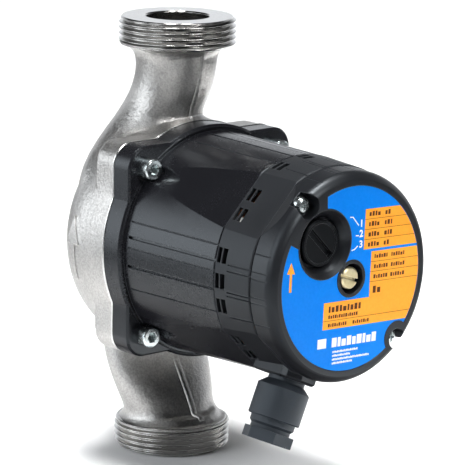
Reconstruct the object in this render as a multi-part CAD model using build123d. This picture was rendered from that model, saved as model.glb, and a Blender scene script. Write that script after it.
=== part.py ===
from build123d import *
import math
import os

# Wet-rotor circulator pump. Millimetres, +Z up the pipe in the flow direction.
# The origin is the centre of the lower (inlet) gasket face; the motor points to -Y.

# ---------- pipe ports ----------
PORT_TO_PORT = 180.0
THREAD_MAJOR_R = 47.803 / 2       # G 1 1/2 pipe thread
THREAD_MINOR_R = 44.845 / 2
THREAD_PITCH = 2.309
COLLAR_H = 11.5
PORT_BORE_R = 13.0                # DN 25 passage

# ---------- motor axis and joint planes, as distances forward of the pipe axis ----------
AXIS_Z = 90.0
FLANGE_BACK = 13.0                # steel face against motor flange
FLANGE_FRONT = 22.4
RING_SEAM = 75.1                  # motor body to vent ring
COVER_SEAM = 94.1                 # vent ring to end cover
COVER_FACE = 106.1
FLANGE_R = 48.2
FLANGE_HALF = 43.2                # half width over the flats of the four lugs
LUG_R = 9.0
BODY_R_BACK = 45.6
BODY_R_RING = 44.1
RING_R_COVER = 42.5
WALL = 3.0

# ---------- fasteners ----------
SCREW_PCR = 48.54                 # housing screws, M5 socket head
SCREW_ANGLES = (45, 135, 225, 315)
SCREW_R = 2.5
SCREW_HEAD_R = 4.25
SCREW_HEAD_H = 5.0
COVER_SCREWS = ((-22.9, 31.1), (25.7, -28.0))

# ---------- wet end ----------
CHAMBER_R = 34.5
IMPELLER_R = 28.5
NECK_R = 12.5                     # impeller suction neck
SHAFT_R = 5.0
SHAFT_FIT = 0.05                  # radial running clearance in the bushes
CAN_R = 24.0
CAN_WALL = 0.4
ROTOR_R = 22.9

# ---------- controls on the end cover ----------
KNOB_AT = (-14.3, 15.4)
KNOB_R = 9.4
KNOB_SLOT_ANGLE = -45.0           # slot points at speed 3
VENT_HEAD_R = 4.45
VENT_HOLE_R = 6.1
VENT_FIT = 0.05
LABEL_R = 36.55

# ---------- cable gland ----------
GLAND_AHEAD = 90.2                # gland axis, forward of the pipe axis
GLAND_ANGLE = -114.0              # around the motor axis, from +X
GLAND_R = 10.5
GLAND_THREAD_R = 9.0              # M18 x 1.5 compression screw
GLAND_PITCH = 1.5
CABLE_BORE_R = 5.5

os.makedirs("parts", exist_ok=True)

# Local Z of this plane runs forward along the motor axis; local X and Y are world X and Z.
MOTOR = Plane(origin=(0, 0, AXIS_Z), x_dir=(1, 0, 0), z_dir=(0, -1, 0)).location
g = math.radians(GLAND_ANGLE)
GLAND = Plane(
    origin=(0, -GLAND_AHEAD, AXIS_Z),
    x_dir=(0, 1, 0),
    z_dir=(math.cos(g), 0, math.sin(g)),
).location


def spun(points):
    """A solid turned about +Z from (radius, height) points."""
    outline = Polyline(*[(r, 0, h) for r, h in points], close=True)
    return revolve(make_face(outline), Axis.Z, 360)


def tube(outer, inner, low, high):
    """A plain tube about +Z."""
    return spun([(inner, low), (outer, low), (outer, high), (inner, high)])


def rod(radius, low, high, x=0.0, y=0.0):
    """A plain cylinder along +Z."""
    return Pos(x, y, low) * extrude(Circle(radius), high - low)


def block(sketch, low, high):
    """A flat sketch pushed from one height to another along +Z."""
    return Pos(0, 0, low) * extrude(sketch, high - low)


def polar(radius, angle):
    """A point on a circle, angle in degrees."""
    a = math.radians(angle)
    return (radius * math.cos(a), radius * math.sin(a))


def oval(z, x, y, half_x, half_y):
    """A level elliptical section of a passage or neck."""
    return Plane.XY.offset(z) * (Pos(x, y) * Ellipse(half_x, half_y))


def save(name, shape):
    """Write one node of the assembly."""
    solids = list(shape.solids())
    node = solids[0] if len(solids) == 1 else Compound(solids)
    node.label = name
    export_step(node, "parts/" + name + ".step")


# ---------- male pipe thread on a collar, gasket face at the bottom ----------
def thread_cutter(major, minor, pitch, low, high):
    """A helical V groove, wound about +Z."""
    path = Helix(pitch=pitch, height=high - low, radius=minor, center=(0, 0, low))
    crest = pitch * 0.43
    root = pitch * 0.08
    over = 0.25
    slope = (crest - root) / (major - minor)
    wide = crest + slope * over
    start = Plane(origin=path @ 0, x_dir=(1, 0, 0), z_dir=path % 0)
    shape = Polyline(
        (0, -root), (major - minor + over, -wide), (major - minor + over, wide), (0, root), close=True
    )
    return sweep(start * make_face(shape), path=path, is_frenet=True)


def threaded_collar():
    """The machined end of a port: thread, chamfers and gasket face."""
    major = THREAD_MAJOR_R
    collar = spun(
        [(0, 0), (major - 1.7, 0), (major, 1.5), (major, COLLAR_H - 0.7), (major - 0.8, COLLAR_H), (0, COLLAR_H)]
    )
    cutter = thread_cutter(major, THREAD_MINOR_R, THREAD_PITCH, -1.2, COLLAR_H + 1.2)
    return collar - cutter


# ---------- volute housing ----------
FLANGE_SKETCH = Circle(FLANGE_R) + RectangleRounded(2 * FLANGE_HALF, 2 * FLANGE_HALF, LUG_R)


def housing():
    """One steel casting: volute, lugs, both necks, threaded ports and passages."""
    back_curve = Spline(
        (48.3, 0, 0.0), (47.7, 0, -8.5), (45.2, 0, -14.3), (41.0, 0, -18.8), (34.0, 0, -22.2), (22.0, 0, -24.0)
    )
    front = Polyline((22.0, 0, -24.0), (0, 0, -24.3), (0, 0, FLANGE_BACK), (FLANGE_R, 0, FLANGE_BACK), (48.3, 0, 0.0))
    drum = MOTOR * revolve(make_face(back_curve + front), Axis.Z, 360)
    lugs = MOTOR * block(FLANGE_SKETCH, 1.5, FLANGE_BACK)
    outlet_neck = loft(
        [
            oval(PORT_TO_PORT - 4, 0, 0, 16.5, 16.5),
            oval(162, 0, 0.3, 16.5, 16.5),
            oval(149, -0.2, 3.6, 16.6, 16.4),
            oval(136, -4.6, 8.4, 19.4, 15.4),
            oval(122, -12.0, 9.8, 24.6, 14.0),
            oval(105, -16.0, 9.0, 26.0, 13.6),
        ]
    )
    inlet_neck = loft(
        [
            oval(4, 0, 0, 17.6, 16.6),
            oval(14, 0, 1.4, 19.6, 16.2),
            oval(26, 0, 5.8, 23.4, 14.2),
            oval(40, 0, 11.8, 25.0, 12.2),
            oval(58, 0, 17.6, 22.0, 14.4),
            oval(80, 0, 20.0, 19.0, 15.0),
        ]
    )
    eye_dome = Pos(0, 20.0, 80) * scale(Sphere(1.0), by=(19.0, 15.0, 19.0))
    body = drum + lugs
    body += outlet_neck
    body += inlet_neck
    body += eye_dome
    collar = threaded_collar()
    body += collar
    body += Pos(0, 0, PORT_TO_PORT) * (Rot(180, 0, 0) * collar)

    # fillets under the collars, where the casting meets the machined ends
    body += spun([(0, COLLAR_H - 3), (21.5, COLLAR_H - 3), (21.0, COLLAR_H), (18.5, COLLAR_H + 3), (0, COLLAR_H + 3)])
    top = PORT_TO_PORT - COLLAR_H
    body += spun([(0, top + 3), (21.5, top + 3), (20.5, top), (17.0, top - 3), (0, top - 3)])

    # raised flow arrow on the side of the volute, pointing at the outlet
    arrow = Polyline(
        (-5.0, 75.5), (-5.0, 90.4), (-2.6, 90.4), (-6.2, 101.8), (-9.8, 90.4), (-7.4, 90.4), (-7.4, 75.5), close=True
    )
    plate = Plane(origin=(-40, 0, 0), x_dir=(0, -1, 0), z_dir=(-1, 0, 0)) * make_face(arrow)
    body += extrude(plate, 20) & (MOTOR * rod(FLANGE_R + 0.7, -12, 0))

    # casting ribs down the middle of both necks
    for low, high, y_low, y_high in ((139, 168, -9.3, -16.6), (12, 37, -15.9, -0.2)):
        rib = Polyline((y_low, low), (y_high, high), (y_high + 4, high), (y_low + 4, low), close=True)
        strip = Plane(origin=(-1.4, 0, 0), x_dir=(0, 1, 0), z_dir=(1, 0, 0)) * make_face(rib)
        body += extrude(strip, 2.6)

    # passages: inlet up behind the volute to the impeller eye
    inlet = loft(
        [
            oval(6, 0, 0, PORT_BORE_R - 0.7, PORT_BORE_R - 0.7),
            oval(15, 0, 1.8, 13.8, 12.2),
            oval(26, 0, 6.0, 16.8, 10.2),
            oval(40, 0, 11.8, 18.4, 8.2),
            oval(58, 0, 17.4, 16.6, 10.0),
            oval(80, 0, 19.6, 14.4, 10.8),
        ]
    )
    eye = Pos(0, 19.6, 80) * scale(Sphere(1.0), by=(14.4, 10.8, 14.4))
    bore_in = rod(PORT_BORE_R, -1, 8)
    suction = MOTOR * rod(13.0, -20, -4)
    # outlet: spiral channel round the impeller, then up the neck
    spiral_points = [polar(r, a) for r, a in (
        (33.2, 74), (34.2, 30), (35.2, -15), (36.4, -60), (37.8, -105), (39.4, -150), (41.2, 165), (42.6, 138)
    )]
    spiral = make_face(Spline(*spiral_points) + Polyline(spiral_points[-1], (-18.0, 36.5), spiral_points[0]))
    channel = MOTOR * block(spiral, -3.0, 9.5)
    chamber = MOTOR * rod(CHAMBER_R, -1.0, FLANGE_BACK + 1)
    outlet = loft(
        [
            oval(PORT_TO_PORT - 8, 0, 0, PORT_BORE_R - 0.1, PORT_BORE_R - 0.1),
            oval(162, 0, 0.3, PORT_BORE_R - 0.1, PORT_BORE_R - 0.1),
            oval(149, -0.4, 3.2, 12.6, 12.2),
            oval(136, -5.0, 6.0, 14.0, 9.8),
            oval(124, -12.0, 3.4, 15.0, 7.4),
            oval(112, -19.0, -2.2, 12.0, 5.4),
        ]
    )
    bore_out = rod(PORT_BORE_R, PORT_TO_PORT - 12, PORT_TO_PORT + 1)
    ring_seat = MOTOR * rod(15.0, -6.0, 0.0)
    seal_groove = MOTOR * tube(40.0, 36.8, FLANGE_BACK - 2.4, FLANGE_BACK + 1)
    for cut in (inlet, eye, bore_in, suction, channel, chamber, outlet, bore_out, ring_seat, seal_groove):
        body -= cut
    for angle in SCREW_ANGLES:
        x, y = polar(SCREW_PCR, angle)
        body -= MOTOR * rod(SCREW_R, 4.6, FLANGE_BACK + 1, x, y)
    return body


save("volute_housing", housing())
save("case_wear_ring", MOTOR * spun([(12.8, -5.9), (15.0, -5.9), (15.0, 0), (12.8, 0)]))
save("housing_seal", MOTOR * spun([
    (36.9, 10.7), (37.3, 10.6), (39.5, 10.6), (39.9, 10.7), (39.9, 12.9), (39.5, 13.0), (37.3, 13.0), (36.9, 12.9)
]))

# ---------- rotor assembly ----------
vane_path = ThreePointArc(polar(11.5, 0), polar(19.5, 22), polar(IMPELLER_R - 0.2, 62))
vane = trace(vane_path, line_width=1.3)
vanes = Sketch() + [Rot(0, 0, 60 * k) * vane for k in range(6)]
impeller = spun([
    (SHAFT_R, 12.0), (8.6, 12.0), (9.4, 9.5), (IMPELLER_R, 9.5), (IMPELLER_R, 8.0), (10.0, 8.0),
    (8.6, 5.0), (7.6, 2.6), (SHAFT_R, 2.6),
])
impeller += spun([
    (11.0, -5.0), (NECK_R, -5.0), (NECK_R, 0.2), (13.6, 1.0), (IMPELLER_R, 1.6), (IMPELLER_R, 3.0),
    (13.4, 2.6), (11.6, 1.4), (11.0, 0.0),
])
impeller += block(vanes, 2.0, 8.4) & tube(IMPELLER_R, 9.0, 1.2, 9.0)
save("impeller", MOTOR * impeller)
save("shaft", MOTOR * spun([
    (1.6, 2.0), (SHAFT_R - 0.4, 2.0), (SHAFT_R, 2.5), (SHAFT_R, 74.0), (SHAFT_R - 0.4, 74.5), (1.6, 74.5)
]))
rotor = tube(ROTOR_R, SHAFT_R, 30.0, 62.0)
rotor += tube(ROTOR_R - 0.4, 15.0, 28.6, 30.0)
rotor += tube(ROTOR_R - 0.4, 15.0, 62.0, 63.4)
save("rotor_core", MOTOR * rotor)
save("thrust_ring", MOTOR * spun([(SHAFT_R, 25.4), (9.0, 25.4), (9.4, 25.8), (9.4, 28.2), (SHAFT_R, 28.2)]))

# ---------- can, bearing plate and bushes ----------
can = tube(CAN_R, CAN_R - CAN_WALL, 14.0, 78.0)
can += tube(41.0, CAN_R - CAN_WALL, 14.0, 15.0)
can += spun([(4.6, 77.0), (CAN_R, 77.0), (CAN_R, 78.0), (4.6, 78.0)])
can += tube(9.0, 7.6, 68.0, 77.2)
can += spun([(4.0, 77.0), (5.9, 77.0), (5.9, 97.0), (4.5, 97.0), (4.5, 88.0), (4.0, 87.5)])
save("rotor_can", MOTOR * can)
plate = spun([
    (8.0, 14.0), (10.4, 14.0), (10.4, 15.6), (22.0, 15.6), (22.0, 13.0), (41.0, 13.0), (41.0, 14.0),
    (23.4, 14.0), (23.4, 17.0), (10.4, 17.0), (10.4, 24.0), (8.0, 24.0),
])
for k in range(4):
    x, y = polar(16.5, 45 + 90 * k)
    plate -= rod(1.5, 13, 20, x, y)
save("bearing_plate", MOTOR * plate)
save("impeller_side_bush", MOTOR * tube(8.0, SHAFT_R + SHAFT_FIT, 14.0, 25.0))
save("vent_side_bush", MOTOR * tube(7.6, SHAFT_R + SHAFT_FIT, 68.0, 76.6))

# ---------- stator ----------
core = tube(40.4, CAN_R + 0.1, 30.5, 61.5)
for k in range(12):
    slot = Pos(30.5, 0) * RectangleRounded(9.0, 6.0, 1.5)
    mouth = Pos(25.5, 0) * Rectangle(4.0, 1.6)
    core -= Rot(0, 0, 30 * k) * block(slot + mouth, 30, 62)
save("stator_core", MOTOR * core)


def coil_ring(low, high):
    """End turns of the winding, four bundles with gaps between them."""
    bundle = spun([
        (27.0, low + 1.5), (28.5, low), (36.5, low), (38.0, low + 1.5), (38.0, high - 1.5),
        (36.5, high), (28.5, high), (27.0, high - 1.5),
    ])
    gaps = Rot(0, 0, 45) * (Box(90, 3.0, 300) + Box(3.0, 90, 300))
    return bundle - gaps


coils = coil_ring(21.0, 28.4) + coil_ring(63.6, 71.0)
for k in range(12):
    leg = Pos(30.5, 0) * RectangleRounded(8.2, 5.2, 1.2)
    coils += Rot(0, 0, 30 * k) * block(leg, 28.0, 64.0)
save("stator_windings", MOTOR * coils)
holes = Sketch() + [Rot(0, 0, 30 * k) * Pos(30.5, 0) * RectangleRounded(8.8, 5.8, 1.4) for k in range(12)]
washer = Circle(39.6) - Circle(26.2) - holes
tabs = Sketch() + [Rot(0, 0, a) * Pos(38.9, 0) * Rectangle(1.4, 2.6) for a in (20, 100, 145.6, 200, 290)]
insulation = [block(washer, 28.6, 30.4), block(washer, 61.6, 63.4) + block(tabs, 61.6, 82.0)]
save("winding_insulation", MOTOR * Compound(children=insulation))

# ---------- motor body ----------
def flats(solid, at=45.3, lean=-0.075, start=30.0):
    """Shave the four sloping flats off the diagonals of a body part."""
    tilt = math.degrees(math.atan(lean))
    side = (Align.MIN, Align.CENTER, Align.CENTER)
    for angle in SCREW_ANGLES:
        solid -= Rot(0, 0, angle) * Pos(at, 0, start) * Rot(0, tilt, 0) * Box(20, 70, 240, align=side)
    return solid


# grooves along each of the four sides: degrees from the middle of the side, width, depth
BODY_LINES = ((-17.0, 0.5, 0.6), (-4.8, 1.1, 1.2), (4.6, 0.5, 0.6), (10.0, 1.1, 1.2), (18.0, 0.5, 0.6))
RING_LINES = ((-18.8, 0.4, 0.35), (-7.0, 0.5, 0.35), (-5.0, 0.5, 0.35), (6.0, 0.5, 0.35), (9.3, 0.6, 0.35))
COVER_LINES = ((-20.0, 0.4, 0.3), (-7.7, 0.5, 0.3), (-4.5, 0.4, 0.3), (5.0, 0.5, 0.3), (9.0, 0.4, 0.3), (18.4, 0.4, 0.3))


def rib_lines(solid, lines, low, high, r_low, r_high):
    """Cut the rib grooves that run along four sides of the body."""
    lean = math.degrees(math.atan((r_high - r_low) / (high - low)))
    corner = (Align.MIN, Align.CENTER, Align.MIN)
    for side in (0, 90, 180, 270):
        for offset, width, depth in lines:
            cut = Box(5, width, high - low, align=corner)
            solid -= Rot(0, 0, side - offset) * Pos(r_low - depth, 0, low) * Rot(0, lean, 0) * cut
    return solid


def motor_body():
    """Finned black shell with its mounting flange."""
    shell = spun([(0, 18.0), (BODY_R_BACK, 18.0), (BODY_R_BACK, 22.4), (BODY_R_RING, 74.7), (BODY_R_RING - 0.5, RING_SEAM), (0, RING_SEAM)])
    shell = flats(shell)
    shell = rib_lines(shell, BODY_LINES, 24.5, 76.0, BODY_R_BACK, BODY_R_RING)
    for angle in SCREW_ANGLES:
        x, y = polar(SCREW_PCR, angle)
        shell -= Pos(x, y, 22.4) * spun([(0, 0), (5.4, 0), (5.2, 8.0), (2.6, 26.0), (0, 27.0)])
    flange = block(FLANGE_SKETCH, FLANGE_BACK, FLANGE_FRONT)
    flange = chamfer(flange.faces().sort_by(Axis.Z)[-1].edges(), 0.8)
    shell += flange
    shell -= rod(CAN_R + 0.2, 10, 40)
    shell -= rod(41.2, 10, 15.0)
    shell -= spun([(0, 19.4), (40.4, 19.4), (40.4, 63.0), (40.9, 63.5), (40.9, 80), (0, 80)])
    for angle in SCREW_ANGLES:
        x, y = polar(SCREW_PCR, angle)
        shell -= rod(SCREW_R + 0.25, 10, 24, x, y)
    return shell


save("motor_housing", MOTOR * motor_body())

# ---------- vent ring ----------
VENTS = (0, 13.2, 36.5, 49.6, 72.2)
VENT_SLOTS = ((76.0, 78.0), (78.6, 81.0))


def gland_block(outline):
    """Part of the block that holds the cable gland, from (distance ahead, half width) points."""
    side = [(GLAND_AHEAD - ahead, half) for ahead, half in outline]
    points = side + [(x, -y) for x, y in reversed(side)]
    part = Pos(0, 0, 36) * extrude(make_face(Polyline(*points, close=True)), 8.6)
    return GLAND * chamfer(part.faces().sort_by(Axis.Z)[-1].edges(), 0.9)


def vent_ring():
    """Slotted ring between motor body and cover, with the gland block's rear half."""
    ring = spun([(0, RING_SEAM), (BODY_R_RING - 0.5, RING_SEAM), (BODY_R_RING, 75.6), (RING_R_COVER + 0.4, 93.6), (RING_R_COVER, COVER_SEAM), (0, COVER_SEAM)])
    ring = rib_lines(flats(ring), RING_LINES, 82.0, 96.0, 43.4, RING_R_COVER)
    inside = spun([(0, 70), (40.9, 70), (40.9, 82.6), (0, 82.6)])
    inside += spun([(0, 84.2), (40.0, 84.2), (39.4, 100), (0, 100)])
    hollow = ring - inside
    for x, y in COVER_SCREWS:
        hollow += rod(3.6, 83.0, COVER_SEAM, x, y) & ring
    for angle in VENTS + tuple(-v for v in VENTS[1:]):
        for side in (0, 180):
            turn = side + angle
            near_gland = abs((turn - GLAND_ANGLE + 180) % 360 - 180) < 14
            if not near_gland:
                for low, high in VENT_SLOTS:
                    slot = Box(8, 6.0, high - low, align=(Align.MIN, Align.CENTER, Align.MIN))
                    hollow -= Rot(0, 0, turn) * Pos(38, 0, low) * slot
    for angle in (90, 270):
        for low, high in VENT_SLOTS:
            slot = Box(8, 6.0, high - low, align=(Align.MIN, Align.CENTER, Align.MIN))
            hollow -= Rot(0, 0, angle) * Pos(38, 0, low) * slot
    hollow -= rod(6.2, 80, 90)
    hollow -= rod(2.2, 80, 90, 10.0, 12.0)
    for x, y in COVER_SCREWS:
        hollow -= rod(1.6, 85.0, 100, x, y)
    return hollow


ring_solid = MOTOR * vent_ring() + gland_block([(78.4, 8.3), (COVER_SEAM, 8.3)])
ring_solid -= GLAND * rod(7.5, 30, 50)
save("vent_ring", ring_solid)

# ---------- end cover ----------
TOP_LEFT_FREE = Polyline(
    (-13.9, 42), (-13.5, 26), (-14.3, 15.4), (-27.6, 15.0), (-32.25, 17.5), (-45, 19.0), (-45, 42), close=True
)


def label_shape(radius, knob_r, vent_r, screw_r):
    """Outline of the rating label, with its cut-outs."""
    sheet = Circle(radius) - make_face(TOP_LEFT_FREE)
    sheet -= Pos(*KNOB_AT) * Circle(knob_r)
    sheet -= Circle(vent_r)
    sheet -= Pos(25.6, -27.4) * Circle(screw_r)
    return sheet


def end_cover():
    """Domed cap with the knob well, vent hole, screw pockets and label recess."""
    edge = Polyline((0, 0, COVER_FACE), (0, 0, COVER_SEAM), (RING_R_COVER - 0.5, 0, COVER_SEAM))
    edge += Polyline((RING_R_COVER - 0.5, 0, COVER_SEAM), (RING_R_COVER, 0, 94.6), (42.1, 0, 101.2))
    edge += ThreePointArc((42.1, 0, 101.2), (41.1, 0, 104.4), (38.9, 0, COVER_FACE))
    edge += Line((38.9, 0, COVER_FACE), (0, 0, COVER_FACE))
    cap = flats(revolve(make_face(edge), Axis.Z, 360), 40.49, 0.26, COVER_SEAM)
    cap = rib_lines(cap, COVER_LINES, 93.0, 103.5, RING_R_COVER, 42.1)
    inside = spun([(0, 93), (39.4, 93), (39.0, 101.5), (37.5, 103.3), (0, 103.3)])
    shell = cap - inside
    x, y = KNOB_AT
    shell += Pos(x, y, 0) * rod(15.2, 98.6, 104.5) & cap
    shell += rod(8.2, 98.0, 104.5)
    for sx, sy in COVER_SCREWS:
        shell += Pos(sx, sy, 0) * rod(6.4, COVER_SEAM + 0.05, 104.5) & cap
    well = spun([(0, 100.6), (10.2, 100.6), (10.2, 102.2), (12.0, 104.6), (13.6, COVER_FACE + 0.1), (0, COVER_FACE + 0.1)])
    shell -= Pos(x, y, 0) * well
    shell -= rod(4.05, 90, 102, x, y)
    shell -= rod(VENT_HOLE_R, 90, 107)
    for (sx, sy), r in zip(COVER_SCREWS, (5.0, 4.2)):
        out = math.degrees(math.atan2(sy, sx))
        shell -= rod(r, 99.6, 108, sx, sy)
        shell -= Pos(sx, sy, 99.6) * Rot(0, 0, out) * Box(9, 1.3 * r, 9, align=(Align.MIN, Align.CENTER, Align.MIN))
        shell -= rod(1.9, 90, 101, sx, sy)
    shell -= block(label_shape(LABEL_R + 0.15, 13.9, 7.4, 6.6), COVER_FACE - 0.4, COVER_FACE + 1)
    return shell


cover_solid = MOTOR * end_cover() + gland_block([(COVER_SEAM, 8.3), (97.4, 8.3), (101.8, 3.9)])
cover_solid -= GLAND * rod(7.5, 30, 50)
save("end_cover", cover_solid)
save("rating_label", MOTOR * block(label_shape(LABEL_R, 14.07, 7.57, 6.75), COVER_FACE - 0.4, COVER_FACE - 0.2))

# ---------- speed knob and switch ----------
knob = spun([(0, 100.9), (KNOB_R, 100.9), (KNOB_R, 103.0), (KNOB_R - 0.6, 103.6), (KNOB_R - 1.4, 103.6), (KNOB_R - 1.6, 103.1), (0, 103.1)])
knob += rod(4.0, 93.0, 101.0)
knob += rod(2.6, 87.0, 93.0) & (Pos(0, 0, 90) * Box(6, 4.2, 10))
knob -= Rot(0, 0, KNOB_SLOT_ANGLE) * (Pos(0, 0, 101.5) * Box(15.4, 2.8, 5, align=(Align.CENTER, Align.CENTER, Align.MIN)))
save("speed_knob", MOTOR * Pos(KNOB_AT[0], KNOB_AT[1], 0) * knob)
save("knob_seal", MOTOR * Pos(KNOB_AT[0], KNOB_AT[1], 0) * tube(6.4, 4.06, 96.6, 98.6))
switch = Pos(0, 0, 85.0) * Box(19, 17, 7.6, align=(Align.CENTER, Align.CENTER, Align.MIN))
switch += rod(7.0, 92.0, 95.0)
switch -= rod(4.3, 92.4, 96)
switch -= rod(2.9, 86.0, 96)
save("speed_switch", MOTOR * Pos(KNOB_AT[0], KNOB_AT[1], 0) * switch)

# ---------- electrical parts in the cover ----------
save("capacitor", MOTOR * Pos(22.5, 4.0, 85.0) * (Rot(-90, 0, 0) * Pos(0, -6.9, 0) * spun([
    (0, -15), (6.0, -15), (6.8, -14.2), (6.8, 14.2), (6.0, 15), (0, 15)
])))
terminal = Pos(4.0, -21.5, 84.8) * Box(22, 10, 9.5, align=(Align.CENTER, Align.CENTER, Align.MIN))
for k in range(3):
    terminal -= rod(2.4, 90.5, 96, -3.0 + 7.0 * k, -21.5)
    terminal -= Pos(-3.0 + 7.0 * k, -27, 88) * Box(4.0, 6.0, 4.0)
save("terminal_block", MOTOR * terminal)
pins = [rod(2.0, 90.5, 92.5, -3.0 + 7.0 * k, -21.5) for k in range(3)]
save("terminal_screws", MOTOR * Compound(children=pins))

# ---------- vent screw ----------
vent = spun([
    (0, 80.0), (3.5, 80.0), (3.95, 80.6), (3.95, 87.2), (3.2, 87.4), (3.2, 91.8), (VENT_HEAD_R, 91.8),
    (VENT_HEAD_R, 104.9), (VENT_HEAD_R - 0.6, 105.5), (0, 105.5),
])
vent -= Rot(0, 0, -20) * (Pos(0, 0, 103.6) * Box(12, 1.3, 4, align=(Align.CENTER, Align.CENTER, Align.MIN)))
save("vent_screw", MOTOR * vent)
save("vent_screw_seal", MOTOR * spun([
    (3.25, 89.8), (3.6, 89.5), (4.1, 89.5), (4.43, 89.8), (4.43, 91.2), (4.1, 91.5), (3.6, 91.5), (3.25, 91.2)
]))

# ---------- cable gland ----------
gland = spun([
    (5.2, 37.0), (7.4, 37.0), (7.4, 46.0), (8.1, 46.6), (GLAND_R, 48.7),
    (GLAND_R, 61.0), (GLAND_R - 0.5, 61.4), (GLAND_THREAD_R + 0.06, 61.4), (GLAND_THREAD_R + 0.06, 51.2),
    (7.6, 51.2), (7.6, 48.0), (5.2, 47.4),
])
save("gland_body", GLAND * gland)
save("gland_seal", GLAND * spun([(4.9, 47.7), (5.2, 47.5), (7.5, 48.2), (7.5, 51.0), (4.9, 51.0)]))
save("gland_pressure_ring", GLAND * tube(7.9, 5.7, 52.3, 53.3))
screw = spun([
    (CABLE_BORE_R, 53.6), (GLAND_THREAD_R - 0.9, 53.6), (GLAND_THREAD_R, 54.5), (GLAND_THREAD_R, 63.6),
    (8.0, 64.6), (8.0, 66.4), (CABLE_BORE_R, 66.4),
])
screw -= thread_cutter(GLAND_THREAD_R, 8.2, GLAND_PITCH, 52.4, 65.2)
hexagon = block(RegularPolygon(10.4, 6, rotation=30) & Circle(10.3), 66.2, 70.6)
screw += hexagon - rod(CABLE_BORE_R, 60, 75)
screw -= spun([(0, 69.6), (CABLE_BORE_R, 69.6), (CABLE_BORE_R + 1.0, 70.7), (0, 70.7)])
save("gland_screw", GLAND * screw)

# ---------- screws ----------
housing_screws = []
for angle in SCREW_ANGLES:
    x, y = polar(SCREW_PCR, angle)
    one = spun([
        (0, 5.2), (SCREW_R - 0.5, 5.2), (SCREW_R, 5.8), (SCREW_R, FLANGE_FRONT), (SCREW_HEAD_R, FLANGE_FRONT),
        (SCREW_HEAD_R, FLANGE_FRONT + SCREW_HEAD_H - 0.5), (SCREW_HEAD_R - 0.5, FLANGE_FRONT + SCREW_HEAD_H),
        (0, FLANGE_FRONT + SCREW_HEAD_H),
    ])
    one -= block(RegularPolygon(2.0, 6, major_radius=False), FLANGE_FRONT + SCREW_HEAD_H - 2.6, 30)
    housing_screws.append(Pos(x, y, 0) * one)
save("housing_screws", MOTOR * Compound(children=housing_screws))
cover_screws = []
for x, y in COVER_SCREWS:
    one = spun([(0, 85.6), (1.6, 86.4), (1.6, 99.6), (3.3, 99.6), (3.3, 101.6), (2.4, 102.8), (0, 103.1)])
    cross = Rectangle(3.4, 0.8) + Rectangle(0.8, 3.4)
    one -= block(cross, 101.4, 104)
    cover_screws.append(Pos(x, y, 0) * one)
save("cover_screws", MOTOR * Compound(children=cover_screws))
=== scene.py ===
import math

import bmesh
import bpy
import numpy as np
from mathutils import Matrix, Vector
from mathutils.bvhtree import BVHTree


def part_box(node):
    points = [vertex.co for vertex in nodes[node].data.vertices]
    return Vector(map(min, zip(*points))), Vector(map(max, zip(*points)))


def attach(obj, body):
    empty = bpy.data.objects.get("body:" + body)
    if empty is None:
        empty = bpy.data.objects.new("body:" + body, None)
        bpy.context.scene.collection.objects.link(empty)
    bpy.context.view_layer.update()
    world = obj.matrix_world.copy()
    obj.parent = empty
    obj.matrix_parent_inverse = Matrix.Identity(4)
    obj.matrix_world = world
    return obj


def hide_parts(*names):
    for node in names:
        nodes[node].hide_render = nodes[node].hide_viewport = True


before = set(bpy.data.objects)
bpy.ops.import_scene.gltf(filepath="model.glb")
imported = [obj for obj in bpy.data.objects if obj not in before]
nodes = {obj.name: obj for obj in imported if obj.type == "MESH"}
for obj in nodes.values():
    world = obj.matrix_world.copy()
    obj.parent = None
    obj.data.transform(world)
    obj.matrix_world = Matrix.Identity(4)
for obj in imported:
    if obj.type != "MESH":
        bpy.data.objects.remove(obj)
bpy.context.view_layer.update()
MM = 0.001

# ------------------------------------------------------------------ places, from the frame
PORT_TO_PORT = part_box("volute_housing")[1].z
AXIS_Z = PORT_TO_PORT / 2
LABEL_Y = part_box("rating_label")[0].y


# ------------------------------------------------------------------ materials
class Nodes:
    """Short ways to add shader nodes to a tree and to join them."""

    def __init__(self, tree):
        self.tree = tree

    def add(self, kind, **values):
        """A new node, with settings, or with input values whose names have _ for a space."""
        node = self.tree.nodes.new(kind)
        for key, value in values.items():
            if hasattr(node, key):
                setattr(node, key, value)
            else:
                node.inputs[key.replace("_", " ")].default_value = value
        return node

    def feed(self, socket, value):
        """Links an output to the socket, or sets a plain number or colour on it."""
        if hasattr(value, "is_output"):
            self.tree.links.new(value, socket)
        elif isinstance(value, tuple):
            socket.default_value = (*value, 1.0)
        else:
            socket.default_value = value

    def combine(self, first, second, operation="ADD"):
        node = self.add("ShaderNodeMath", operation=operation)
        self.feed(node.inputs[0], first)
        self.feed(node.inputs[1], second)
        return node.outputs[0]

    def span(self, source, low, high, at=(0.0, 1.0), shape="LINEAR"):
        """The source, taken from the range at to the range low to high."""
        node = self.add("ShaderNodeMapRange", interpolation_type=shape, To_Min=low, To_Max=high)
        self.feed(node.inputs["From Min"], at[0])
        self.feed(node.inputs["From Max"], at[1])
        self.feed(node.inputs["Value"], source)
        return node.outputs["Result"]


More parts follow.
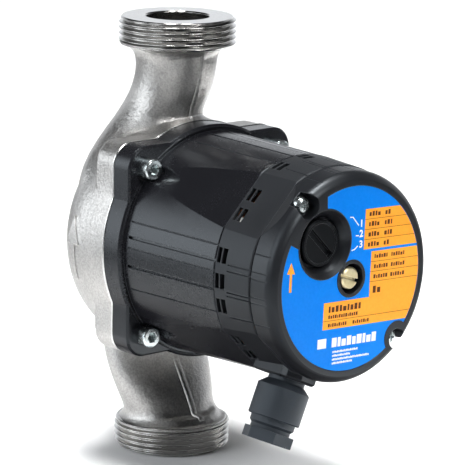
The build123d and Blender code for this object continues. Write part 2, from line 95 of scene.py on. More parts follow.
class Shade(Nodes):
    """A material under construction. Its patterns follow the object's own coordinates, in metres."""

    def __init__(self, name):
        self.material = bpy.data.materials.new(name)
        self.material.use_nodes = True
        super().__init__(self.material.node_tree)
        self.shader = self.tree.nodes["Principled BSDF"]
        self.coords = self.add("ShaderNodeTexCoord").outputs["Object"]

    def noise(self, scale, detail=3.0, roughness=0.5, stretch=None):
        node = self.add("ShaderNodeTexNoise", Scale=scale, Detail=detail, Roughness=roughness)
        where = self.coords
        if stretch:
            mapping = self.add("ShaderNodeMapping", vector_type="POINT")
            mapping.inputs["Scale"].default_value = stretch
            self.feed(mapping.inputs["Vector"], where)
            where = mapping.outputs["Vector"]
        self.feed(node.inputs["Vector"], where)
        return node.outputs["Fac"]

    def mix(self, factor, first, second, blend="MIX"):
        """The first colour where the factor is 0; where it is 1, the second, blended in as blend says."""
        node = self.add("ShaderNodeMix", data_type="RGBA", blend_type=blend)
        colours = [socket for socket in node.inputs if socket.type == "RGBA"]
        self.feed(node.inputs[0], factor)
        self.feed(colours[0], first)
        self.feed(colours[1], second)
        return [socket for socket in node.outputs if socket.type == "RGBA"][0]

    def edges(self, radius):
        """(edge mask from 0 to 1, rounded normal) near the sharp edges of the shape."""
        bevel = self.add("ShaderNodeBevel", samples=6, Radius=radius)
        plain = self.add("ShaderNodeNewGeometry")
        dot = self.add("ShaderNodeVectorMath", operation="DOT_PRODUCT")
        self.feed(dot.inputs[0], bevel.outputs["Normal"])
        self.feed(dot.inputs[1], plain.outputs["Normal"])
        return self.span(dot.outputs["Value"], 1.0, 0.0, at=(0.75, 0.99)), bevel.outputs["Normal"]

    def bump(self, height, strength, distance, normal=None):
        """Fine relief, on top of the rounded normal where one is given."""
        node = self.add("ShaderNodeBump", Strength=strength, Distance=distance)
        self.feed(node.inputs["Height"], height)
        if normal is not None:
            self.feed(node.inputs["Normal"], normal)
        self.feed(self.shader.inputs["Normal"], node.outputs["Normal"])

    def set(self, **values):
        """Shader inputs, named with _ for a space."""
        for key, value in values.items():
            self.feed(self.shader.inputs[key.replace("_", " ")], value)


def cast_steel():
    """Bead-blasted casting: cloudy grey metal with fine grain and pits, and edges painted paler, partly as
    rubbed wear and partly as a painted highlight.
    """
    s = Shade("cast_steel")
    grain = s.noise(1250, 3.0, 0.65)
    pits = s.noise(560, 2.0, 0.5)
    cloud = s.noise(45, 3.0, 0.6)
    edge, rounded = s.edges(0.6 * MM)
    base = s.mix(s.span(cloud, 0, 1, at=(0.3, 0.7)), (0.43, 0.425, 0.415), (0.55, 0.54, 0.525))
    speck = s.mix(s.span(grain, 0, 1, at=(0.4, 0.6)), (0.74, 0.735, 0.73), (1.0, 1.0, 1.0))
    # edges painted paler: rubbed wear and painted highlight
    s.set(Base_Color=s.mix(edge, s.mix(1.0, base, speck, "MULTIPLY"), (0.85, 0.84, 0.82)), Metallic=1.0)
    s.set(Roughness=s.span(s.combine(cloud, grain), 0.3, 0.44, at=(0.7, 1.3)))
    s.bump(s.combine(grain, s.combine(pits, 1.3, "MULTIPLY")), 0.85, 0.2 * MM, rounded)
    return s.material


def turned_steel():
    """Turned metal: tool marks run round the pipe axis, and a painted highlight on the edges."""
    s = Shade("turned_steel")
    rings = s.noise(260, 3.0, 0.6, stretch=(0.06, 0.06, 9.0))
    fine = s.noise(900, 3.0, 0.6)
    edge, rounded = s.edges(0.2 * MM)
    base = s.mix(s.span(rings, 0, 1, at=(0.3, 0.7)), (0.34, 0.335, 0.325), (0.50, 0.495, 0.48))
    # the edges get a paler colour: painted highlight
    s.set(Base_Color=s.mix(edge, base, (0.92, 0.91, 0.9)), Metallic=1.0)
    s.set(Roughness=s.span(s.combine(rings, fine), 0.12, 0.2, at=(0.7, 1.3)))
    s.bump(s.combine(rings, s.combine(fine, 0.4, "MULTIPLY")), 0.16, 0.04 * MM, rounded)
    return s.material


def plastic(name, colour, edge_highlight_colour, rough, grain_scale, grain, edge_radius=0.5 * MM, gloss=0.4):
    """Moulded plastic: fine grain, uneven gloss, a painted highlight on the edges, and painted shade
    underneath, where the shine is turned down on faces that point down.
    """
    s = Shade(name)
    fine = s.noise(grain_scale, 3.0, 0.6)
    cloud = s.noise(30, 3.0, 0.6)
    edge, rounded = s.edges(edge_radius)
    darker = tuple(0.85 * c for c in colour)
    base = s.mix(s.span(s.combine(cloud, fine), 0, 1, at=(0.75, 1.25)), darker, colour)
    # edges painted in the paler edge colour: painted highlight
    s.set(Base_Color=s.mix(edge, base, edge_highlight_colour))
    s.set(Roughness=s.span(s.combine(cloud, s.combine(fine, 0.6, "MULTIPLY")), *rough, at=(0.5, 1.1)))
    # shine turned down on faces that point down: painted shade on the undersides
    facing = s.add("ShaderNodeSeparateXYZ")
    s.feed(facing.inputs[0], s.add("ShaderNodeNewGeometry").outputs["Normal"])
    s.set(Specular_IOR_Level=s.span(facing.outputs["Z"], 0.06 * gloss, gloss, at=(-0.5, -0.1)))
    if max(colour) < 0.1:
        s.set(Specular_Tint=(0.86, 0.94, 1.0))
    s.bump(fine, grain, 0.08 * MM, rounded)
    return s.material


def metal(name, dark, light, rough, scale=400, bump=0.15, edge_highlight_colour=None):
    """Plated or plain metal with fine marks, and a painted highlight on the edges where an edge highlight
    colour is given.
    """
    s = Shade(name)
    marks = s.noise(scale, 4.0, 0.65)
    cloud = s.noise(110, 2.0, 0.5)
    edge, rounded = s.edges(0.3 * MM)
    base = s.mix(s.span(s.combine(marks, cloud), 0, 1, at=(0.7, 1.3)), dark, light)
    if edge_highlight_colour:
        # edges painted in the edge colour: painted highlight
        base = s.mix(edge, base, edge_highlight_colour)
    s.set(Base_Color=base, Metallic=1.0, Roughness=s.span(marks, *rough, at=(0.3, 0.7)))
    s.bump(marks, bump, 0.05 * MM, rounded)
    return s.material


def film(name, colour):
    """Printed label film: slight orange peel and uneven ink."""
    s = Shade(name)
    ink = s.noise(900, 2.0, 0.5)
    cloud = s.noise(22, 2.0, 0.5)
    lighter = tuple(min(1.0, 1.08 * c + 0.004) for c in colour)
    s.set(Base_Color=s.mix(s.span(s.combine(ink, cloud), 0, 1, at=(0.7, 1.3)), colour, lighter))
    s.set(Roughness=s.span(cloud, 0.3, 0.42, at=(0.3, 0.7)), Specular_IOR_Level=0.1)
    s.bump(s.noise(1400, 2.0, 0.5), 0.08, 0.03 * MM)
    return s.material


# pale edge colour of the black plastics: painted highlight
BLACK_EDGE_HIGHLIGHT = (0.035, 0.037, 0.042)
STEEL = cast_steel()
TURNED = turned_steel()
SHELL = plastic("black_shell", (0.009, 0.009, 0.011), BLACK_EDGE_HIGHLIGHT, (0.22, 0.3), 1300, 0.05, gloss=0.42)
TEXTURED = plastic("black_textured_plastic", (0.011, 0.0115, 0.0135), BLACK_EDGE_HIGHLIGHT, (0.42, 0.56), 1700, 0.5)
SATIN = plastic("black_satin_plastic", (0.009, 0.0095, 0.0115), BLACK_EDGE_HIGHLIGHT, (0.32, 0.42), 1500, 0.25)
# the second colour of each plastic from here on is a painted highlight on its edges
KNOB_BLACK = plastic(
    "knob_plastic", (0.004, 0.0045, 0.0055), (0.10, 0.105, 0.115), (0.3, 0.42), 1500, 0.18,
    edge_radius=0.3 * MM, gloss=0.14,
)
GLAND_GREY = plastic("gland_plastic", (0.024, 0.029, 0.036), (0.062, 0.07, 0.08), (0.46, 0.6), 1600, 0.3)
RUBBER = plastic("black_rubber", (0.012, 0.012, 0.012), (0.03, 0.03, 0.03), (0.6, 0.8), 1100, 0.3)
CARBON = plastic("carbon", (0.02, 0.02, 0.021), (0.06, 0.06, 0.062), (0.35, 0.5), 900, 0.2)
CERAMIC = plastic("ceramic", (0.78, 0.76, 0.71), (0.86, 0.84, 0.8), (0.08, 0.16), 700, 0.04)
PALE = plastic("white_insulation", (0.74, 0.73, 0.69), (0.85, 0.84, 0.8), (0.4, 0.55), 900, 0.2)
IMPELLER = plastic("impeller_plastic", (0.52, 0.48, 0.38), (0.66, 0.62, 0.5), (0.4, 0.55), 900, 0.25)
SWITCH_GREY = plastic("switch_plastic", (0.05, 0.05, 0.055), (0.1, 0.1, 0.11), (0.4, 0.55), 900, 0.25)
# the edge colours of the screws and of the vent screw: painted highlight
ZINC = metal(
    "zinc_screw", (0.55, 0.61, 0.62), (0.74, 0.79, 0.79), (0.2, 0.3),
    bump=0.05, edge_highlight_colour=(0.93, 0.97, 0.97),
)
BRASS = metal(
    "vent_brass", (0.80, 0.68, 0.38), (0.96, 0.85, 0.56), (0.28, 0.42),
    bump=0.1, edge_highlight_colour=(1.0, 0.95, 0.75),
)
COPPER = metal("copper_wire", (0.42, 0.16, 0.07), (0.72, 0.33, 0.17), (0.25, 0.45), scale=700, bump=0.5)
DARK_STEEL = metal("lamination_steel", (0.18, 0.19, 0.2), (0.34, 0.35, 0.37), (0.35, 0.5), scale=900)
BRIGHT_STEEL = metal("can_steel", (0.5, 0.5, 0.5), (0.72, 0.72, 0.72), (0.16, 0.3))
BRIGHT_EDGE = metal(
    "machined_edge", (0.62, 0.62, 0.61), (0.84, 0.84, 0.83), (0.14, 0.24), scale=700, bump=0.08
)
BLUE = film("label_blue", (0.0, 0.195, 0.74))
ORANGE = film("label_orange", (1.0, 0.365, 0.035))
WHITE_INK = film("label_white", (0.86, 0.88, 0.9))
BROWN_INK = film("label_brown", (0.10, 0.035, 0.012))

NODE_MATERIALS = (
    (STEEL, "volute_housing"),
    (TURNED, "case_wear_ring"),
    (BRIGHT_STEEL, "rotor_core rotor_can bearing_plate"),
    (DARK_STEEL, "stator_core"),
    (COPPER, "stator_windings"),
    (ZINC, "housing_screws cover_screws terminal_screws"),
    (BRASS, "vent_screw"),
    (CERAMIC, "shaft"),
    (CARBON, "thrust_ring impeller_side_bush vent_side_bush"),
    (RUBBER, "housing_seal knob_seal vent_screw_seal gland_seal"),
    (IMPELLER, "impeller"),
    (SHELL, "motor_housing"),
    (TEXTURED, "vent_ring"),
    (SATIN, "end_cover"),
    (KNOB_BLACK, "speed_knob"),
    (SWITCH_GREY, "speed_switch"),
    (PALE, "winding_insulation capacitor terminal_block"),
    (GLAND_GREY, "gland_body gland_pressure_ring gland_screw"),
    (BLUE, "rating_label"),
)
for material, names in NODE_MATERIALS:
    for name in names.split():
        nodes[name].data.materials.clear()
        nodes[name].data.materials.append(material)


# ------------------------------------------------------------------ helpers for new pieces
def scene_piece(name, mesh, material):
    """Puts a mesh in the scene as a piece that stays with the pump."""
    made = bpy.data.objects.new(name, mesh)
    bpy.context.scene.collection.objects.link(made)
    mesh.materials.clear()
    mesh.materials.append(material)
    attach(made, "pump")
    return made


def piece(name, verts, faces, material, smooth=True):
    mesh = bpy.data.meshes.new(name)
    mesh.from_pydata([tuple(v) for v in verts], [], faces)
    mesh.update()
    if smooth:
        mesh.polygons.foreach_set("use_smooth", [True] * len(mesh.polygons))
    return scene_piece(name, mesh, material)


def evaluated_mesh(holder):
    """The mesh of a work object with its modifiers applied; the object is removed."""
    bpy.context.scene.collection.objects.link(holder)
    bpy.context.view_layer.update()
    mesh = bpy.data.meshes.new_from_object(holder.evaluated_get(bpy.context.evaluated_depsgraph_get()))
    bpy.data.objects.remove(holder)
    return mesh


# ------------------------------------------------------------------ threaded ports
MAJOR = 23.9015 * MM
MINOR = 22.4225 * MM
PITCH = 2.309 * MM
COLLAR = 11.5 * MM
BORE = 13.0 * MM
BORE_CHAMFER = 0.5 * MM
CASTING_END_R = 16.0 * MM
SEAT = COLLAR - 1.2 * MM
CREST, FLANK = 0.1, 0.82
LEAD_CHAMFER = 1.3 * MM
TRAIL_CHAMFER = 0.9 * MM
TRAIL_SLOPE = 1.1


def thread_radius(turn, height):
    """Radius of the thread surface: rounded crests and roots, faded out by the end chamfers."""
    phase = (height / PITCH - turn) % 1.0
    wave = abs(phase - 0.5) * 2.0
    depth = min(1.0, max(0.0, (wave - CREST) / FLANK))
    radius = MAJOR - (MAJOR - MINOR) * depth
    lead = MAJOR - LEAD_CHAMFER + height
    trail = MAJOR - TRAIL_CHAMFER + (COLLAR - height) * TRAIL_SLOPE
    return min(radius, lead, trail)


def port_collar(name, upside_down, step):
    """A machined, threaded pipe end with its gasket face and bore."""
    around = 288 // step
    levels = np.linspace(0, COLLAR, 116 // step)
    inside = [
        (CASTING_END_R, COLLAR), (CASTING_END_R, SEAT), (BORE, SEAT),
        (BORE, BORE_CHAMFER), (BORE + BORE_CHAMFER, 0.0),
    ]
    verts, faces = [], []
    for k in range(around):
        angle = 2 * math.pi * k / around
        for radius, z in [(thread_radius(k / around, z), z) for z in levels] + inside:
            x, y = radius * math.cos(angle), radius * math.sin(angle)
            verts.append((x, -y, PORT_TO_PORT - z) if upside_down else (x, y, z))
    count = len(levels) + len(inside)
    for k in range(around):
        a, b = k * count, ((k + 1) % around) * count
        for i in range(count):
            j = (i + 1) % count
            faces.append((a + i, b + i, b + j, a + j))
    made = piece(name, verts, faces, TURNED)
    made.data.set_sharp_from_angle(angle=math.radians(32))


collar_step = 1
port_collar("port_thread_inlet", False, collar_step)
port_collar("port_thread_outlet", True, collar_step)

# ------------------------------------------------------------------ cast volute with natural fillets
FINE_VOXEL = 0.0008
FILLET_TURNS = 70
# each step in is followed by a slightly longer step out, so that smoothing doesn't shrink the shape
SMOOTHING = (0.5, -0.53) * 4
FINISHING = (0.4, -0.42) * 3
NORMALS_EVERY = 8
JOINT_AHEAD = 12.2 * MM
CHAMBER_R = 43.6 * MM
CHAMBER_BACK = -3.4 * MM
PASSAGE_R = 14.0 * MM
PASSAGE_LENGTH = 20 * MM, 30 * MM


def voxelised(source, size):
    """The shape rebuilt as an even, closed mesh."""
    mesh = source.data.copy()
    work = bmesh.new()
    work.from_mesh(mesh)
    bmesh.ops.remove_doubles(work, verts=work.verts, dist=4e-6)
    work.to_mesh(mesh)
    work.free()
    holder = bpy.data.objects.new("remesh_work", mesh)
    remesh = holder.modifiers.new("remesh", "REMESH")
    remesh.mode = "VOXEL"
    remesh.voxel_size = size
    return evaluated_mesh(holder)


def mesh_arrays(mesh):
    points = np.zeros(len(mesh.vertices) * 3)
    mesh.vertices.foreach_get("co", points)
    edges = np.zeros(len(mesh.edges) * 2, np.int64)
    mesh.edges.foreach_get("vertices", edges)
    return points.reshape(-1, 3), edges.reshape(-1, 2)


def spread(values, edges, degree):
    """The mean of each vertex's neighbours."""
    count = len(degree)
    shape = values.reshape(count, -1)
    total = np.zeros_like(shape)
    for column in range(shape.shape[1]):
        total[:, column] = np.bincount(edges[:, 0], shape[edges[:, 1], column], count)
        total[:, column] += np.bincount(edges[:, 1], shape[edges[:, 0], column], count)
    return (total / degree[:, None]).reshape(values.shape)


def normals_of(mesh, points):
    mesh.vertices.foreach_set("co", points.astype(np.float32).ravel())
    mesh.update()
    found = np.zeros(len(points) * 3)
    mesh.vertices.foreach_get("normal", found)
    return found.reshape(-1, 3)


def fillet_share(points, edges, degree):
    """1 where the casting gets fillets, fading to 0 on machined faces, flow arrow, chamber and passages."""
    x, y, z = points.T
    below, above = PASSAGE_LENGTH
    cast = (z > COLLAR) & (z < PORT_TO_PORT - COLLAR) & (-y < JOINT_AHEAD)
    chamber = (np.hypot(x, z - AXIS_Z) < CHAMBER_R) & (-y > CHAMBER_BACK)
    arrow = (x < -40 * MM) & (z > 73 * MM) & (z < 104 * MM) & (y > -1 * MM) & (y < 14 * MM)
    passage = (np.hypot(x, y) < PASSAGE_R) & ((z < below) | (z > PORT_TO_PORT - above))
    share = (cast & ~chamber & ~arrow & ~passage).astype(float)
    for _ in range(3):
        share = np.minimum(share, 0.5 * share + 0.5 * spread(share, edges, degree))
    return share


def cut_ends(mesh):
    """Ends the casting inside both collars with flat, closed faces."""
    trim = bmesh.new()
    trim.from_mesh(mesh)
    for level, normal in ((SEAT, -1), (PORT_TO_PORT - SEAT, 1)):
        cut = bmesh.ops.bisect_plane(
            trim, geom=trim.verts[:] + trim.edges[:] + trim.faces[:], dist=1e-7,
            plane_co=(0, 0, level), plane_no=(0, 0, normal), clear_outer=True,
        )
        ends = [e for e in cut["geom_cut"] if isinstance(e, bmesh.types.BMEdge)]
        bmesh.ops.triangle_fill(trim, use_beauty=True, edges=ends, normal=(0, 0, normal))
    trim.to_mesh(mesh)
    trim.free()
    mesh.update()


def cast_volute(size):
    """The volute with its inner corners filled out, as in a casting."""
    mesh = voxelised(nodes["volute_housing"], size)
    points, edges = mesh_arrays(mesh)
    degree = np.maximum(np.bincount(edges.ravel(), minlength=len(points)), 1).astype(float)
    for strength in SMOOTHING:
        points += strength * (spread(points, edges, degree) - points)
    share = fillet_share(points, edges, degree)
    for turn in range(int(FILLET_TURNS * (FINE_VOXEL / size) ** 2)):
        if turn % NORMALS_EVERY == 0:
            normals = normals_of(mesh, points)
        toward_mean = spread(points, edges, degree) - points
        outward = np.maximum(np.einsum("ij,ij->i", toward_mean, normals), 0.0)
        points += (share * outward)[:, None] * normals
    for strength in FINISHING:
        points += (strength * np.clip(share, 0.25, 1.0))[:, None] * (spread(points, edges, degree) - points)
    normals_of(mesh, points)
    mesh.polygons.foreach_set("use_smooth", [True] * len(mesh.polygons))
    cut_ends(mesh)
    return scene_piece("cast_volute", mesh, STEEL)


volute = cast_volute((0.8) * MM)
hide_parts("volute_housing")


# ------------------------------------------------------------------ ribs, arrow, joint edge and shell bead
def section_strip(name, rings, material, closed):
    """A skin over rings of points; an open strip gets end caps."""
    count = len(rings[0])
    verts = [point for ring in rings for point in ring]
    faces = []
    for k in range(len(rings) if closed else len(rings) - 1):
        a, b = k * count, ((k + 1) % len(rings)) * count
        for i in range(count):
            j = (i + 1) % count
            faces.append((a + i, a + j, b + j, b + i))
    if not closed:
        faces.append(tuple(reversed(range(count))))
        faces.append(tuple(range(len(verts) - count, len(verts))))
    made = piece(name, verts, faces, material)
    work = bmesh.new()
    work.from_mesh(made.data)
    bmesh.ops.recalc_face_normals(work, faces=work.faces[:])
    work.to_mesh(made.data)
    work.free()
    made.data.set_sharp_from_angle(angle=math.radians(50))


casting = BVHTree.FromPolygons(
    [v.co.copy() for v in volute.data.vertices], [tuple(p.vertices) for p in volute.data.polygons]
)
# (across as a share of the width, height over the casting in mm), from one foot over the top to the other
RIB_SIDE = ((-0.62, -1.2), (-0.62, -0.15), (-0.46, 0.5), (-0.32, 0.72))
RIB_SECTION = RIB_SIDE + tuple((-across, lift) for across, lift in reversed(RIB_SIDE))
RIB_X = -0.1
RIB_WIDTH = 2.6
RIB_STEPS = 60
IN_FRONT = -70 * MM


def parting_rib(name, low, high):
    """A raised casting rib up the front of a neck, a little uneven, from height low to height high in mm."""
    rings = []
    for k in range(RIB_STEPS + 1):
        z = low + (high - low) * k / RIB_STEPS
        fade = min(1.0, min(k, RIB_STEPS - k) / 4)
        ring = []
        for across, lift in RIB_SECTION:
            start = Vector(((RIB_X + across * RIB_WIDTH) * MM, IN_FRONT, z * MM))
            spot, normal, _, _ = casting.ray_cast(start, Vector((0, 1, 0)))
            if lift > 0:
                lift = lift * fade + 0.06 * math.sin(2.1 * z) * math.sin(0.77 * z + across)
            ring.append(spot + normal * lift * MM)
        rings.append(ring)
    section_strip(name, rings, STEEL, False)


parting_rib("parting_rib_outlet", 137.5, 167.0)
parting_rib("parting_rib_inlet", 13.2, 38.0)

FLANGE_R, FLANGE_HALF, LUG_R = 48.2, 43.2, 9.0
# the arrow, in mm: its middle, heights and half widths, how far it stands out and how deep it is rooted
ARROW_Y = 6.2
ARROW_FOOT, ARROW_NECK, ARROW_HEAD_LENGTH = 75.5, 90.4, 11.3
ARROW_SHAFT_HALF, ARROW_HEAD_HALF, ARROW_TIP_HALF = 1.2, 3.6, 0.15
ARROW_LIFT, ARROW_ROOT = 0.95, 0.8
ARROW_STEPS = 24


def cast_arrow():
    """The raised flow arrow on the side of the casting: a shaft, then a head that narrows to the tip."""
    levels = []
    for k in range(ARROW_STEPS + 1):
        levels.append((ARROW_FOOT + (ARROW_NECK - ARROW_FOOT) * k / ARROW_STEPS, ARROW_SHAFT_HALF))
    for k in range(ARROW_STEPS + 1):
        half = max(ARROW_TIP_HALF, ARROW_HEAD_HALF * (1 - k / ARROW_STEPS))
        levels.append((ARROW_NECK + 0.01 + ARROW_HEAD_LENGTH * k / ARROW_STEPS, half))
    rings = []
    for z, half in levels:
        above_axis = z - AXIS_Z / MM
        root = -math.sqrt((FLANGE_R - ARROW_ROOT) ** 2 - above_axis ** 2)
        top = -math.sqrt((FLANGE_R + ARROW_LIFT) ** 2 - above_axis ** 2)
        front, rear = ARROW_Y - half, ARROW_Y + half
        corners = ((root, front), (top, front), (top, rear), (root, rear))
        rings.append([Vector((x, y, z)) * MM for x, y in corners])
    section_strip("cast_flow_arrow", rings, STEEL, False)


cast_arrow()


def flange_radius(angle):
    """Distance from the motor axis to the outline of the round flange with its four lugs."""
    wide, narrow = sorted((abs(math.cos(angle)), abs(math.sin(angle))), reverse=True)
    middle = FLANGE_HALF - LUG_R
    if FLANGE_HALF * narrow / wide <= middle:
        return max(FLANGE_R, FLANGE_HALF / wide)
    along = middle * (wide + narrow)
    return max(FLANGE_R, along + math.sqrt(along * along - (2 * middle * middle - LUG_R * LUG_R)))


def motor_point(radius, angle, ahead):
    """A point by its distance from the motor axis, its angle and its distance ahead, in mm."""
    return Vector((radius * math.cos(angle) * MM, -ahead * MM, AXIS_Z + radius * math.sin(angle) * MM))


# section points as (distance out from the flange outline, distance ahead)
EDGE_SECTION = ((-1.4, 12.0), (0.05, 12.0), (0.3, 12.25), (0.3, 12.65), (0.05, 12.9), (-1.4, 12.9))
# section points as (distance from the motor axis, distance ahead)
BEAD_SECTION = ((46.6, 22.3), (47.2, 22.3), (47.2, 22.5), (47.05, 22.65), (46.75, 22.65), (46.6, 22.5))
EDGE_STEPS = 720
BEAD_STEPS = 120
BEAD_FROM, BEAD_TO = 51.6, 128.4

rings = []
for k in range(EDGE_STEPS):
    angle = 2 * math.pi * k / EDGE_STEPS
    rings.append([motor_point(flange_radius(angle) + out, angle, ahead) for out, ahead in EDGE_SECTION])
section_strip("joint_edge", rings, BRIGHT_EDGE, True)

for quarter in range(4):
    rings = []
    for k in range(BEAD_STEPS + 1):
        angle = math.radians(90 * quarter + BEAD_FROM + (BEAD_TO - BEAD_FROM) * k / BEAD_STEPS)
        rings.append([motor_point(radius, angle, ahead) for radius, ahead in BEAD_SECTION])
    section_strip("shell_bead_" + str(quarter + 1), rings, SHELL, False)

# ------------------------------------------------------------------ print on the label
LABEL_TURN = math.radians(-2.18)
PRINT_R = 36.4
INK = 0.03
TOP_INK = INK + 0.012
RULE_HALF = 0.09
TICK_WIDTH = 0.42
NUMERAL_SIZE = 3.9


def on_label(x, y, lift):
    """A point of the label's own drawing, in mm from its centre, placed in the frame."""
    c, s = math.cos(LABEL_TURN), math.sin(LABEL_TURN)
    return ((c * x - s * y) * MM, LABEL_Y - lift * MM, AXIS_Z + (s * x + c * y) * MM)


def printed(name, outlines, low, high, material):
    """Flat ink shapes on the label, each a thin closed plate."""
    verts, faces = [], []
    for outline in outlines:
        base = len(verts)
        count = len(outline)
        verts += [on_label(x, y, low) for x, y in outline]
        verts += [on_label(x, y, high) for x, y in outline]
        faces.append([base + count + i for i in range(count)])
        faces.append([base + i for i in reversed(range(count))])
        for i in range(count):
            j = (i + 1) % count
            faces.append([base + i, base + j, base + count + j, base + count + i])
    piece(name, verts, faces, material, smooth=False)


def bar(x0, y0, x1, y1):
    return [(x0, y0), (x1, y0), (x1, y1), (x0, y1)]


def rim(y):
    """How far right the print reaches at this height."""
    return math.sqrt(max(PRINT_R * PRINT_R - y * y, 0.0))


def rim_block(left, low, high):
    """A block that runs from left to the round edge of the print."""
    heights = [low + (high - low) * k / 12 for k in range(13)]
    return [(left, low)] + [(rim(y), y) for y in heights] + [(left, high)]


def stroke(points, width):
    """A bent line of even width."""
    left, right = [], []
    for i, (x, y) in enumerate(points):
        a = points[max(i - 1, 0)]
        b = points[min(i + 1, len(points) - 1)]
        length = math.hypot(b[0] - a[0], b[1] - a[1])
        nx, ny = -(b[1] - a[1]) / length * width / 2, (b[0] - a[0]) / length * width / 2
        left.append((x + nx, y + ny))
        right.append((x - nx, y - ny))
    return [*right, *reversed(left)]


def unturned(points):
    """Face points, which aren't turned with the label, as label points."""
    c, s = math.cos(-LABEL_TURN), math.sin(-LABEL_TURN)
    return [(c * x - s * y, s * x + c * y) for x, y in points]


def word(x, y, length, height, gap=0.24):
    """Blank data: a row of small blocks of uneven width that spell nothing."""
    blocks = []
    at, turn = x, 0
    while at < x + length - 0.2 * height:
        wide = height * (0.62, 0.5, 0.7, 0.4, 0.6)[(turn + int(7 * abs(y))) % 5]
        tall = height * (1.0, 1.0, 0.76, 1.0, 0.84)[(turn + int(3 * abs(x))) % 5]
        blocks.append(bar(at, y - 0.5 * height, at + wide, y - 0.5 * height + tall))
        at += wide + gap * height
        turn += 1
    return blocks


def numeral(character, x, y):
    """A raised figure of the speed dial, upright on the face."""
    curve = bpy.data.curves.new("numeral_" + character, "FONT")
    curve.body = character
    curve.size = NUMERAL_SIZE * MM
    curve.align_x = "CENTER"
    curve.align_y = "CENTER"
    curve.offset = 0.10 * MM
    curve.extrude = INK / 2 * MM
    curve.resolution_u = 6
    mesh = evaluated_mesh(bpy.data.objects.new("numeral_work", curve))
    mesh.transform(Matrix.Rotation(math.pi / 2, 4, "X"))
    mesh.transform(Matrix.Translation((x * MM, LABEL_Y - INK / 2 * MM, AXIS_Z + y * MM)))
    scene_piece("label_numeral_" + character, mesh, WHITE_INK)


blocks = [rim_block(5.9, 10.9, 26.9), rim_block(10.2, -8.5, 9.8), rim_block(-13.9, -19.1, -8.4)]
printed("label_blocks", blocks, 0.0, INK, ORANGE)
# left edge and rule heights of the two upper blocks, then the one rule of the block below
rules = []
for left, heights in ((5.9, (22.86, 18.79, 14.8)), (10.2, (5.63, 1.69, -2.33))):
    rules += [bar(left, y - RULE_HALF, rim(y), y + RULE_HALF) for y in heights]
rules.append(bar(-13.9, -15.8, rim(-15.8), -15.8 + 2 * RULE_HALF))
printed("label_rules", rules, INK, TOP_INK, BROWN_INK)

marks = []
for y in (24.9, 20.9, 16.8, 12.8):
    marks += word(8.0, y, 5.2, 1.9) + word(16.6, y, 3.6, 1.9)
for y in (7.7, 3.6, -0.4):
    marks += word(12.0, y, 7.6, 1.6) + word(21.2, y, 7.6, 1.6)
marks += word(12.0, -5.6, 4.4, 2.8) + word(-11.2, -11.2, 18.0, 2.5)
marks += word(-11.2, -14.2, 15.0, 1.4) + word(-11.2, -17.5, 9.6, 1.4) + word(2.0, -17.5, 8.4, 1.4)
printed("label_data_marks", marks, INK, TOP_INK, BROWN_INK)

footer = word(-8.6, -24.6, 23.6, 3.7, 0.16) + [bar(-16.2, -26.4, -11.6, -22.6)]
for y, length in ((-28.4, 13.5), (-29.9, 9.5), (-31.4, 20.0), (-32.9, 11.0)):
    footer += word(-8.0, y, length, 0.85)
printed("label_footer_marks", footer, 0.0, INK, WHITE_INK)

arrow = unturned([
    (-32.7, -1.0), (-31.5, -1.0), (-31.3, 6.1), (-29.9, 5.9), (-31.8, 10.6), (-34.0, 6.4), (-32.5, 6.25)
])
printed("label_flow_arrow", [arrow], 0.0, INK, ORANGE)
ticks = [
    [(-1.4, 24.5), (0.1, 24.35), (3.3, 20.7)],
    [(1.88, 16.8), (3.4, 16.6)],
    [(-0.2, 11.15), (1.33, 11.4), (3.0, 12.6)],
]
printed("label_ticks", [unturned(stroke(tick, TICK_WIDTH)) for tick in ticks], 0.0, INK, WHITE_INK)
for character, x, y in (("1", 4.8, 21.2), ("2", 4.76, 17.16), ("3", 4.73, 12.98)):
    numeral(character, x, y)


# ------------------------------------------------------------------ floor and light
def pale_floor():
    """A wide, pale, matt sheet just under the lower port."""
    s = Shade("pale_floor")
    s.set(Base_Color=s.mix(s.span(s.noise(6, 2.0), 0, 1, at=(0.3, 0.7)), (0.86, 0.86, 0.86), (0.9, 0.9, 0.9)))
    s.set(Roughness=0.75, Specular_IOR_Level=0.2)
    reach, level = 3, -0.5 * MM
    mesh = bpy.data.meshes.new("floor")
    corners = [(-reach, -reach, level), (reach, -reach, level), (reach, reach, level), (-reach, reach, level)]
    mesh.from_pydata(corners, [], [(0, 1, 2, 3)])
    mesh.update()
    mesh.materials.append(s.material)
    made = bpy.data.objects.new("floor", mesh)
    bpy.context.scene.collection.objects.link(made)


pale_floor()

CAMERA_AZIMUTH = math.radians(-41.668)
CAMERA_ELEVATION = math.radians(12.449)
CAMERA_ROLL = math.radians(1.084)
CAMERA_DISTANCE = 1.291227
CAMERA_LENS = 242.08
CENTRE = Vector((0, -0.04, 0.09))
right = Vector((math.cos(CAMERA_AZIMUTH), math.sin(CAMERA_AZIMUTH), 0))
toward = Vector((math.sin(CAMERA_AZIMUTH), -math.cos(CAMERA_AZIMUTH), 0))


def around(side, front, up):
    """A place given from the camera's side: right, towards the camera, up, in metres from the object."""
    return CENTRE + right * side + toward * front + Vector((0, 0, up))


def area_light(name, place, size, power, spread_angle, target=None, colour=(1, 1, 1)):
    """A soft box; without a target it hangs level and shines straight down."""
    data = bpy.data.lights.new(name, "AREA")
    data.shape = "RECTANGLE"
    data.size, data.size_y = size
    data.energy = power
    data.color = colour
    data.spread = math.radians(spread_angle)
    made = bpy.data.objects.new(name, data)
    bpy.context.scene.collection.objects.link(made)
    made.location = place
    made.rotation_mode = "QUATERNION"
    level = Matrix((right, -toward, Vector((0, 0, 1)))).transposed().to_quaternion()
    made.rotation_quaternion = (place - target).to_track_quat("Z", "Y") if target else level


COOL = (0.92, 0.96, 1.0)
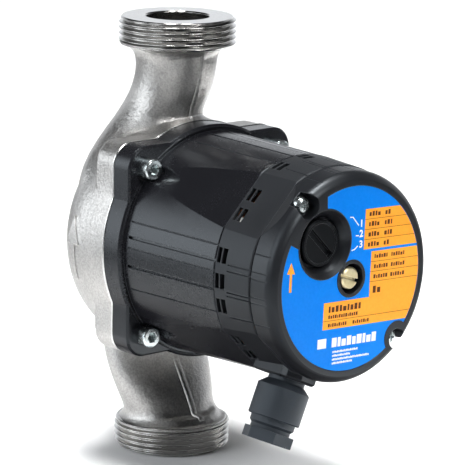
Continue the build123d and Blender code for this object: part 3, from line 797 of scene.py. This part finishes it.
# two long strips overhead with a gap between them, which the threads mirror as a dark band
area_light("left_strip", around(-0.15, -0.62, 0.7), (0.18, 1.56), 1.8, 28)
area_light("right_strip", around(0.18, -0.62, 0.7), (0.24, 1.56), 3.8, 32)
area_light("floor_back_left", around(-0.5, -0.8, 0.6), (0.34, 0.9), 0.6, 34)
area_light("left_box", around(-0.55, 0.05, 0.12), (0.34, 0.42), 0.25, 70, CENTRE + Vector((0, 0, 0.03)), COOL)
area_light("front_box", around(0.85, 0.85, 0.95), (0.5, 0.7), 0.86, 34, CENTRE)
area_light("front_floor", around(-0.12, 0.36, 0.8), (0.5, 0.3), 0.6, 30)
area_light("front_left_box", around(-0.95, 0.8, 0.6), (0.8, 0.9), 0.9, 50, CENTRE, COOL)


def studio_glow():
    """World light: a pale glow, low on the side away from the camera, and next to nothing elsewhere."""
    world = bpy.data.worlds.new("studio")
    bpy.context.scene.world = world
    world.use_nodes = True
    sky = Nodes(world.node_tree)
    direction = sky.add("ShaderNodeTexCoord").outputs["Generated"]
    facing = sky.add("ShaderNodeVectorMath", operation="DOT_PRODUCT")
    facing.inputs[1].default_value = (-0.96 * toward - 0.1 * right).normalized()
    sky.feed(facing.inputs[0], direction)
    height = sky.add("ShaderNodeSeparateXYZ")
    sky.feed(height.inputs[0], direction)
    far_side = sky.span(facing.outputs["Value"], 0, 1, at=(0.05, 0.5), shape="SMOOTHSTEP")
    low_down = sky.span(height.outputs["Z"], 0, 1, at=(0.5, 0.2), shape="SMOOTHSTEP")
    glow = sky.combine(far_side, low_down, "MULTIPLY")
    background = sky.tree.nodes["Background"]
    sky.feed(background.inputs["Color"], (0.93, 0.96, 1.0))
    sky.feed(background.inputs["Strength"], sky.combine(sky.combine(glow, 1.2, "MULTIPLY"), 0.03))


studio_glow()


# ------------------------------------------------------------------ camera
def place_camera():
    """The camera, in front, to the left and a little above, aimed at the motor and slightly rolled."""
    back = toward * math.cos(CAMERA_ELEVATION) + Vector((0, 0, math.sin(CAMERA_ELEVATION)))
    up = back.cross(right)
    cam_right = math.cos(CAMERA_ROLL) * right + math.sin(CAMERA_ROLL) * up
    cam_up = -math.sin(CAMERA_ROLL) * right + math.cos(CAMERA_ROLL) * up
    target = Vector((0, 0, AXIS_Z - 0.04 * MM)) + right * 23.985 * MM
    camera = bpy.data.objects.new("camera", bpy.data.cameras.new("camera"))
    bpy.context.scene.collection.objects.link(camera)
    turned = Matrix((cam_right, cam_up, back)).transposed().to_4x4()
    camera.matrix_world = Matrix.Translation(target + back * CAMERA_DISTANCE) @ turned
    camera.data.sensor_width = 36.0
    camera.data.lens = CAMERA_LENS
    camera.data.clip_start = 0.05
    camera.data.clip_end = 20.0
    bpy.context.scene.camera = camera
    bpy.context.scene.view_settings.view_transform = "Standard"


place_camera()
